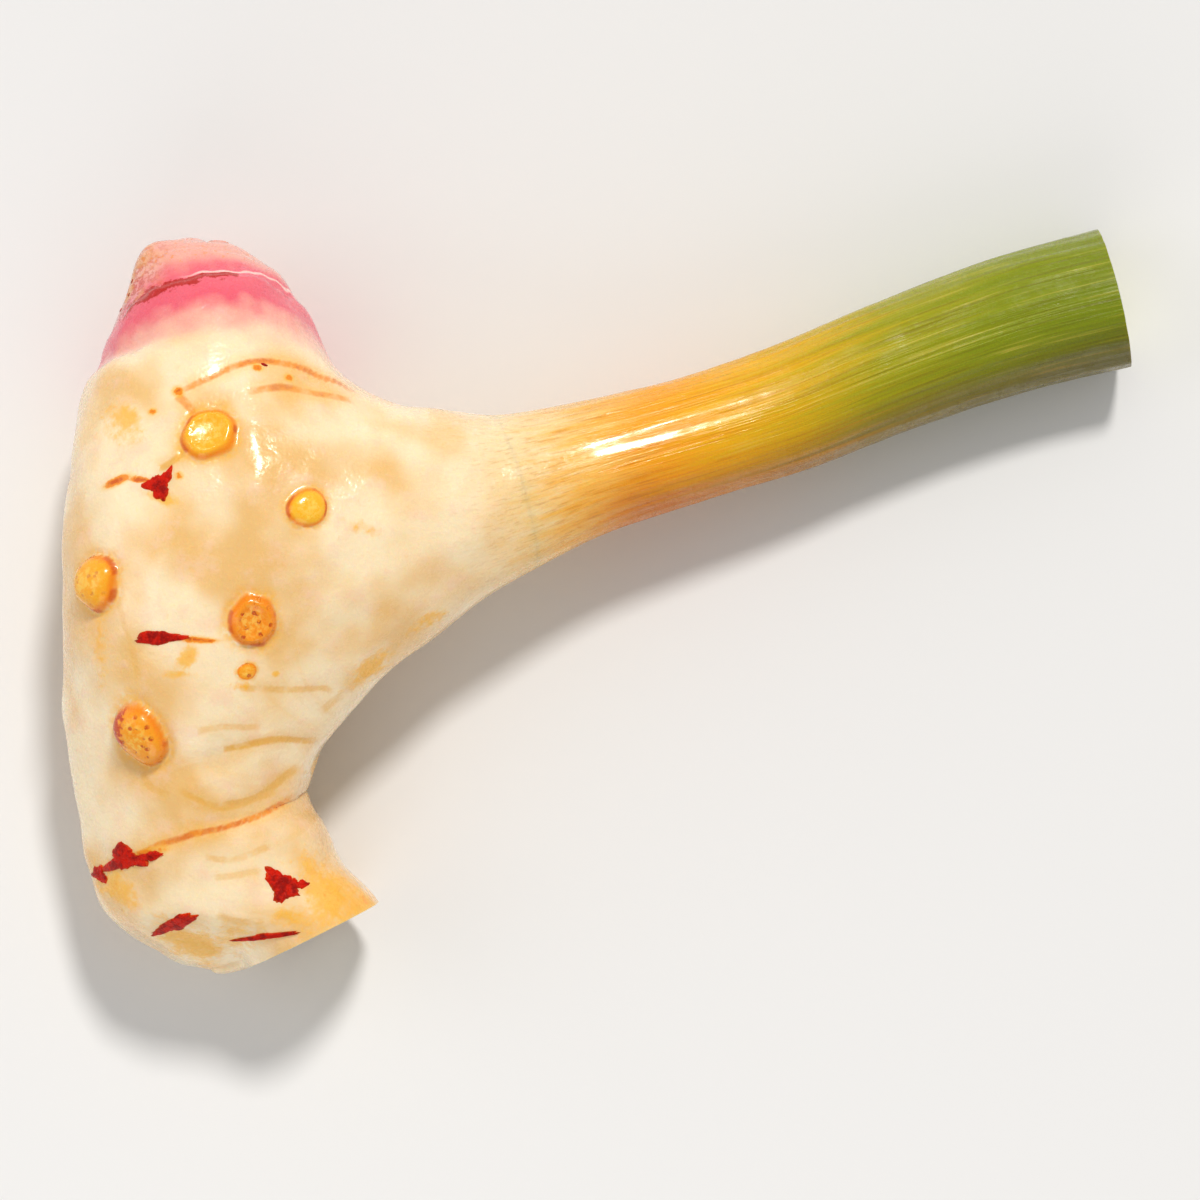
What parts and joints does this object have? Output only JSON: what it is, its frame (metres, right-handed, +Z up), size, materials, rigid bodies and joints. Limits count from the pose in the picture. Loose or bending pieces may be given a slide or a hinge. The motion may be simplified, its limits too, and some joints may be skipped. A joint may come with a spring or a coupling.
{
  "type": "galangal root",
  "caption": "Short swollen rhizome with a pointed bud, trimmed root stubs and a cut foot, and a slimmer cut stem growing out of its side.",
  "frame": {"origin": "middle of the footprint, on the plane that the root rests on", "axes": "+X from the rhizome towards the cut end of the stem, +Y from the cut foot towards the bud, +Z up from the surface it lies on"},
  "size_m": [0.1262, 0.087, 0.0331],
  "materials": {
    "rhizome_flesh": "moist cream skin, satin, with a pink bud and orange scars",
    "stem_sheath": "moist ribbed leaf sheath, orange at the neck and green towards the cut end"
  },
  "bodies": {
    "root": {"rhizome": "rhizome_flesh", "stem": "stem_sheath"}
  },
  "joints": []
}
